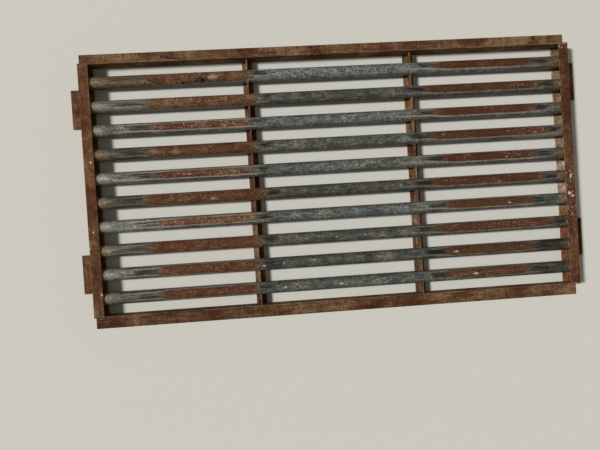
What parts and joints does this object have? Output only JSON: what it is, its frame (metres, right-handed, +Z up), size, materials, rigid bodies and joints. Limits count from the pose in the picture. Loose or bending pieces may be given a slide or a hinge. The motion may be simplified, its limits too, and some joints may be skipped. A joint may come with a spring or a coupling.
{
  "type": "cattle grid",
  "caption": "Welded steel cattle grid panel: round galvanised tubes in a rusted frame of channels and angles, on notched cross bearers, with flat bearing lugs at its ends.",
  "frame": {"origin": "middle of the underside, on the ground plane of the grid lying flat", "axes": "+X along the tubes, +Y across the tubes towards tube_01, +Z up out of the face that wheels run on"},
  "size_m": [3.208, 1.702, 0.089],
  "materials": {
    "galvanised_tube": "weathered galvanising, worn to rust in two bands where wheels cross",
    "rusted_steel": "bare mild steel with settled brown rust"
  },
  "bodies": {
    "root": {"tube_01": "galvanised_tube", "tube_02": "galvanised_tube", "tube_03": "galvanised_tube", "tube_04": "galvanised_tube", "tube_05": "galvanised_tube", "tube_06": "galvanised_tube", "tube_07": "galvanised_tube", "tube_08": "galvanised_tube", "tube_09": "galvanised_tube", "tube_10": "galvanised_tube", "side_channel_left": "rusted_steel", "side_channel_right": "rusted_steel", "edge_angle_back": "rusted_steel", "edge_angle_front": "rusted_steel", "cross_bearer_left": "rusted_steel", "cross_bearer_right": "rusted_steel", "bearing_lug_back_left": "rusted_steel", "bearing_lug_back_right": "rusted_steel", "bearing_lug_front_left": "rusted_steel", "bearing_lug_front_right": "rusted_steel"}
  },
  "joints": []
}
